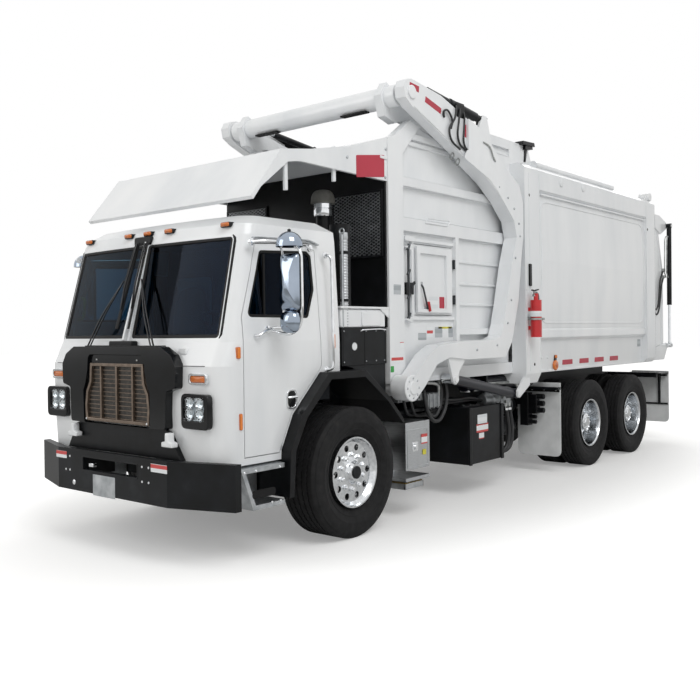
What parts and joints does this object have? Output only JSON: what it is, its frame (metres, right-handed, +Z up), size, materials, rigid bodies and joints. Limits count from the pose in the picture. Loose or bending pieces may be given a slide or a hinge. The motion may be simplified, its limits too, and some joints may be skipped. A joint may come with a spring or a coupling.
{
  "type": "garbage truck",
  "caption": "Cab-over refuse truck with front-loading arms that arch over the cab, an open hopper, a ribbed load body and a lifting tailgate.",
  "frame": {"origin": "on the ground, under the middle of the whole truck", "axes": "+Z up, the front faces -Y, +X is the driver's side, which is the truck's left"},
  "size_m": [2.804, 9.122, 3.9498],
  "materials": {
    "white_paint": "gloss",
    "black_paint": "satin",
    "black_plastic": "matte",
    "seat_cloth": "woven",
    "clear_glass": "clear",
    "grille_mesh": "satin",
    "lamp_lens": "gloss",
    "rod_chrome": "polished",
    "bare_aluminium": "polished",
    "tyre_rubber": "matte",
    "flap_rubber": "matte",
    "red_paint": "gloss"
  },
  "bodies": {
    "root": {"access_steps": "bare_aluminium", "air_intake": "black_plastic", "axles": "black_paint", "bumper": "black_paint", "cab_shell": "white_paint", "canopy": "white_paint", "chassis_frame": "black_paint", "dashboard": "black_plastic", "drive_line": "black_paint", "exhaust_stack": "black_paint", "extinguisher": "red_paint", "fenders": "black_plastic", "grille": "grille_mesh", "grille_surround": "black_plastic", "hopper": "white_paint", "lamps": "lamp_lens", "load_body": "white_paint", "mud_flaps": "flap_rubber", "seats": "seat_cloth", "side_cabinets": "black_paint", "springs": "black_paint", "subframe": "black_paint", "tanks": "black_paint", "tool_box": "bare_aluminium", "windscreen": "clear_glass"},
    "lift_arms": {"lift_arms": "white_paint"},
    "forks": {"forks": "white_paint"},
    "tailgate": {"tailgate": "white_paint"},
    "packer_blade": {"packer_blade": "white_paint"},
    "hopper_door": {"hopper_door": "white_paint"},
    "lift_barrels": {"lift_barrels": "black_paint"},
    "lift_rods": {"lift_rods": "rod_chrome"},
    "fork_barrels": {"fork_barrels": "black_paint"},
    "fork_rods": {"fork_rods": "rod_chrome"},
    "tail_barrels": {"tail_barrels": "black_paint"},
    "tail_rods": {"tail_rods": "rod_chrome"},
    "knuckle_left": {"knuckle_left": "black_paint"},
    "wheel_front_left": {"tyre_front_left": "tyre_rubber", "wheel_front_left": "bare_aluminium"},
    "wheel_rear1_left": {"tyres_rear1_left": "tyre_rubber", "wheel_rear1_left": "bare_aluminium"},
    "wheel_rear2_left": {"tyres_rear2_left": "tyre_rubber", "wheel_rear2_left": "bare_aluminium"},
    "cab_door_left": {"cab_door_left": "white_paint", "door_glass_left": "clear_glass", "mirror_left": "rod_chrome"},
    "knuckle_right": {"knuckle_right": "black_paint"},
    "wheel_front_right": {"tyre_front_right": "tyre_rubber", "wheel_front_right": "bare_aluminium"},
    "wheel_rear1_right": {"tyres_rear1_right": "tyre_rubber", "wheel_rear1_right": "bare_aluminium"},
    "wheel_rear2_right": {"tyres_rear2_right": "tyre_rubber", "wheel_rear2_right": "bare_aluminium"},
    "cab_door_right": {"cab_door_right": "white_paint", "door_glass_right": "clear_glass", "mirror_right": "rod_chrome"}
  },
  "joints": [
    {"name": "steer_left", "type": "hinge", "parent": "root", "child": "knuckle_left", "pos_m": [0.8, -3.019, 0.536], "axis": [0, 0, 1], "range_deg": [-35, 35]},
    {"name": "wheel_front_left_spin", "type": "hinge", "parent": "knuckle_left", "child": "wheel_front_left", "pos_m": [1, -3.019, 0.536], "axis": [1, 0, 0], "continuous": true},
    {"name": "wheel_rear1_left_spin", "type": "hinge", "parent": "root", "child": "wheel_rear1_left", "pos_m": [1, 1.62, 0.526], "axis": [1, 0, 0], "continuous": true},
    {"name": "wheel_rear2_left_spin", "type": "hinge", "parent": "root", "child": "wheel_rear2_left", "pos_m": [1, 2.972, 0.526], "axis": [1, 0, 0], "continuous": true},
    {"name": "steer_right", "type": "hinge", "parent": "root", "child": "knuckle_right", "pos_m": [-0.8, -3.019, 0.536], "axis": [0, 0, 1], "range_deg": [-35, 35]},
    {"name": "wheel_front_right_spin", "type": "hinge", "parent": "knuckle_right", "child": "wheel_front_right", "pos_m": [-1, -3.019, 0.536], "axis": [1, 0, 0], "continuous": true},
    {"name": "wheel_rear1_right_spin", "type": "hinge", "parent": "root", "child": "wheel_rear1_right", "pos_m": [-1, 1.62, 0.526], "axis": [1, 0, 0], "continuous": true},
    {"name": "wheel_rear2_right_spin", "type": "hinge", "parent": "root", "child": "wheel_rear2_right", "pos_m": [-1, 2.972, 0.526], "axis": [1, 0, 0], "continuous": true},
    {"name": "cab_door_left_hinge", "type": "hinge", "parent": "root", "child": "cab_door_left", "pos_m": [1.1, -4.169, 1.5], "axis": [0, 0, -1], "range_deg": [0, 70]},
    {"name": "cab_door_right_hinge", "type": "hinge", "parent": "root", "child": "cab_door_right", "pos_m": [-1.1, -4.169, 1.5], "axis": [0, 0, 1], "range_deg": [0, 70]},
    {"name": "hopper_door_hinge", "type": "hinge", "parent": "root", "child": "hopper_door", "pos_m": [1.024, -1.229, 2.165], "axis": [0, 0, 1], "range_deg": [0, 100]},
    {"name": "arm_lift", "type": "hinge", "parent": "root", "child": "lift_arms", "pos_m": [0, -2.239, 1.18], "axis": [1, 0, 0], "range_deg": [0, 95]},
    {"name": "fork_tilt", "type": "hinge", "parent": "lift_arms", "child": "forks", "pos_m": [0, -2.149, 3.82], "axis": [1, 0, 0], "range_deg": [0, 100]},
    {"name": "tailgate_lift", "type": "hinge", "parent": "root", "child": "tailgate", "pos_m": [0, 3.881, 3.56], "axis": [1, 0, 0], "range_deg": [0, 85]},
    {"name": "lift_barrel_pivot", "type": "hinge", "parent": "root", "child": "lift_barrels", "pos_m": [0, -0.219, 1], "axis": [1, 0, 0], "range_deg": [-14.3, 0]},
    {"name": "lift_rod_slide", "type": "slide", "parent": "lift_barrels", "child": "lift_rods", "axis": [0, -0.9851, 0.172], "range_m": [0, 1.045]},
    {"name": "fork_barrel_pivot", "type": "hinge", "parent": "lift_arms", "child": "fork_barrels", "pos_m": [0, -0.999, 3.8], "axis": [1, 0, 0], "range_deg": [-4.36, 0]},
    {"name": "fork_rod_slide", "type": "slide", "parent": "fork_barrels", "child": "fork_rods", "axis": [0, -0.994, 0.1096], "range_m": [0, 0.3614]},
    {"name": "tail_barrel_pivot", "type": "hinge", "parent": "tailgate", "child": "tail_barrels", "pos_m": [0, 4.521, 3.2], "axis": [1, 0, 0], "range_deg": [-80.57, 0]},
    {"name": "tail_rod_slide", "type": "slide", "parent": "tail_barrels", "child": "tail_rods", "axis": [0, -0.0112, -0.9999], "range_m": [0, 0.9758]},
    {"name": "packer_slide", "type": "slide", "parent": "root", "child": "packer_blade", "axis": [0, 1, 0], "range_m": [0, 1.6]}
  ],
  "couplings": [
    {"joint": "steer_right", "follows": "steer_left", "ratio": 1},
    {"joint": "lift_barrel_pivot", "follows": "arm_lift", "ratio": -0.1453},
    {"joint": "lift_rod_slide", "follows": "arm_lift", "m_per_rad": 0.62904},
    {"joint": "fork_barrel_pivot", "follows": "fork_tilt", "ratio": -0.03858},
    {"joint": "fork_rod_slide", "follows": "fork_tilt", "m_per_rad": 0.20593},
    {"joint": "tail_barrel_pivot", "follows": "tailgate_lift", "ratio": -0.94206},
    {"joint": "tail_rod_slide", "follows": "tailgate_lift", "m_per_rad": 0.65638}
  ]
}
